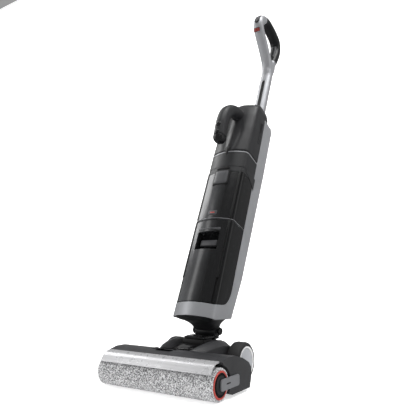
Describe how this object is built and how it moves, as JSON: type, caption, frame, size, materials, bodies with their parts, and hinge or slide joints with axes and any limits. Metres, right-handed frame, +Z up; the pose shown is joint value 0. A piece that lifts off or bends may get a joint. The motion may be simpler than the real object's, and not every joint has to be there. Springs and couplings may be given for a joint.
{
  "type": "wet dry floor scrubber",
  "caption": "Upright cordless wet dry floor scrubber with a driven roller head, steering and reclining neck, two tanks, a lift-out hand vacuum and a loop handle.",
  "frame": {"origin": "middle of the bounding box at floor level, machine leaning back at 23 degrees on its roller and wheels", "axes": "+Z up, +X to the roller's pull-off end, roller in front towards -Y, handle behind towards +Y"},
  "size_m": [0.2748, 0.6038, 0.9886],
  "materials": {
    "dark_plastic": "fine matte charcoal moulding",
    "gloss_black": "polished black",
    "silver_finish": "fine brushed silver grey",
    "steel": "turned",
    "grey_plastic": "satin mid grey",
    "wheel_grey": "fine textured light grey",
    "white_plastic": "satin white",
    "black_rubber": "ribbed soft rubber",
    "clear_plastic": "clear polished",
    "roller_pile": "short white and grey mixed microfibre pile",
    "red_plastic": "satin red",
    "smoked_plastic": "smoked translucent",
    "smoked_gloss": "deep smoked gloss",
    "cell_wrap": "shrink wrap"
  },
  "bodies": {
    "head": {"head_chassis": "dark_plastic", "head_top_cover": "dark_plastic", "suction_mouth": "dark_plastic", "end_block_right": "dark_plastic", "end_block_left": "dark_plastic", "axle_housing_right": "dark_plastic", "axle_housing_left": "dark_plastic", "neck_socket": "dark_plastic", "wheel_axle": "steel", "roller_motor": "steel", "drive_arm": "dark_plastic", "scraper_bar": "grey_plastic", "squeegee": "black_rubber"},
    "roller_coupler": {"drive_coupler": "dark_plastic"},
    "roller_window": {"roller_shield": "clear_plastic"},
    "roller_carrier": {"roller_latch_tab": "grey_plastic", "roller_bearing_hub": "dark_plastic"},
    "roller": {"roller_sleeve": "roller_pile", "roller_core": "dark_plastic", "roller_end_ring": "red_plastic"},
    "wheel_right": {"tyre_right": "black_rubber", "wheel_hub_right": "wheel_grey", "wheel_trim_right": "white_plastic"},
    "wheel_left": {"tyre_left": "black_rubber", "wheel_hub_left": "wheel_grey", "wheel_trim_left": "white_plastic"},
    "neck": {"swivel_neck": "dark_plastic", "recline_pin": "gloss_black", "neck_hose": "black_rubber"},
    "body": {"body_frame": "silver_finish", "neck_funnel": "dark_plastic", "rear_core": "dark_plastic", "suction_duct": "dark_plastic", "water_pump": "dark_plastic", "pole": "silver_finish", "pole_inlay": "gloss_black", "handle_shell": "silver_finish", "handle_grip": "gloss_black"},
    "clean_button": {"clean_button": "gloss_black"},
    "clean_tank": {"clean_tank_shell": "smoked_plastic", "clean_tank_panel": "smoked_gloss", "clean_tank_latch": "grey_plastic", "clean_tank_lid": "dark_plastic"},
    "used_tank": {"used_tank_shell": "smoked_plastic", "used_tank_panel": "smoked_gloss", "used_tank_lid": "dark_plastic", "inlet_pipe": "dark_plastic"},
    "tank_button": {"tank_button": "grey_plastic"},
    "hand_vacuum": {"unit_base": "dark_plastic", "unit_stripe": "silver_finish", "unit_housing": "dark_plastic", "pistol_grip": "dark_plastic", "grip_cap": "gloss_black", "vacuum_motor": "steel", "battery_pack": "cell_wrap"},
    "power_button": {"power_button": "gloss_black"},
    "mode_button": {"mode_button": "gloss_black"}
  },
  "joints": [
    {"name": "roller_draw_off", "type": "slide", "parent": "head", "child": "roller_carrier", "axis": [1, 0, 0], "range_m": [0, 0.27]},
    {"name": "roller_spin", "type": "hinge", "parent": "roller_carrier", "child": "roller", "pos_m": [0, -0.2729, 0.029], "axis": [1, 0, 0], "continuous": true},
    {"name": "coupler_spin", "type": "hinge", "parent": "head", "child": "roller_coupler", "pos_m": [-0.02, -0.2729, 0.029], "axis": [1, 0, 0], "continuous": true},
    {"name": "window_lift", "type": "slide", "parent": "head", "child": "roller_window", "axis": [0, 0, 1], "range_m": [0, 0.06]},
    {"name": "wheel_right_spin", "type": "hinge", "parent": "head", "child": "wheel_right", "pos_m": [0.081, -0.1069, 0.039], "axis": [1, 0, 0], "continuous": true},
    {"name": "wheel_left_spin", "type": "hinge", "parent": "head", "child": "wheel_left", "pos_m": [-0.081, -0.1069, 0.039], "axis": [1, 0, 0], "continuous": true},
    {"name": "neck_steer", "type": "hinge", "parent": "head", "child": "neck", "pos_m": [0, -0.1079, 0.07], "axis": [0, 0, 1], "range_deg": [-25, 25]},
    {"name": "body_recline", "type": "hinge", "parent": "neck", "child": "body", "pos_m": [0, -0.1079, 0.096], "axis": [-1, 0, 0], "range_deg": [-18, 28]},
    {"name": "clean_button_press", "type": "slide", "parent": "body", "child": "clean_button", "axis": [0, 0.5736, -0.8192], "range_m": [0, 0.0015], "stiffness_N_per_m": 800, "springref_m": -0.001},
    {"name": "clean_tank_pull", "type": "slide", "parent": "body", "child": "clean_tank", "axis": [0, -0.9205, 0.3907], "range_m": [0, 0.1]},
    {"name": "used_tank_pull", "type": "slide", "parent": "body", "child": "used_tank", "axis": [0, -0.9205, 0.3907], "range_m": [0, 0.1]},
    {"name": "tank_button_press", "type": "slide", "parent": "used_tank", "child": "tank_button", "axis": [0, 0.9205, -0.3907], "range_m": [0, 0.002], "stiffness_N_per_m": 700, "springref_m": -0.001},
    {"name": "hand_vacuum_lift", "type": "slide", "parent": "body", "child": "hand_vacuum", "axis": [0, 0.3907, 0.9205], "range_m": [0, 0.12]},
    {"name": "power_button_press", "type": "slide", "parent": "hand_vacuum", "child": "power_button", "axis": [0, 0.9205, -0.3907], "range_m": [0, 0.0015], "stiffness_N_per_m": 700, "springref_m": -0.001},
    {"name": "mode_button_press", "type": "slide", "parent": "hand_vacuum", "child": "mode_button", "axis": [0, 0.9205, -0.3907], "range_m": [0, 0.0015], "stiffness_N_per_m": 700, "springref_m": -0.001}
  ],
  "couplings": [
    {"joint": "coupler_spin", "follows": "roller_spin", "ratio": 1}
  ]
}
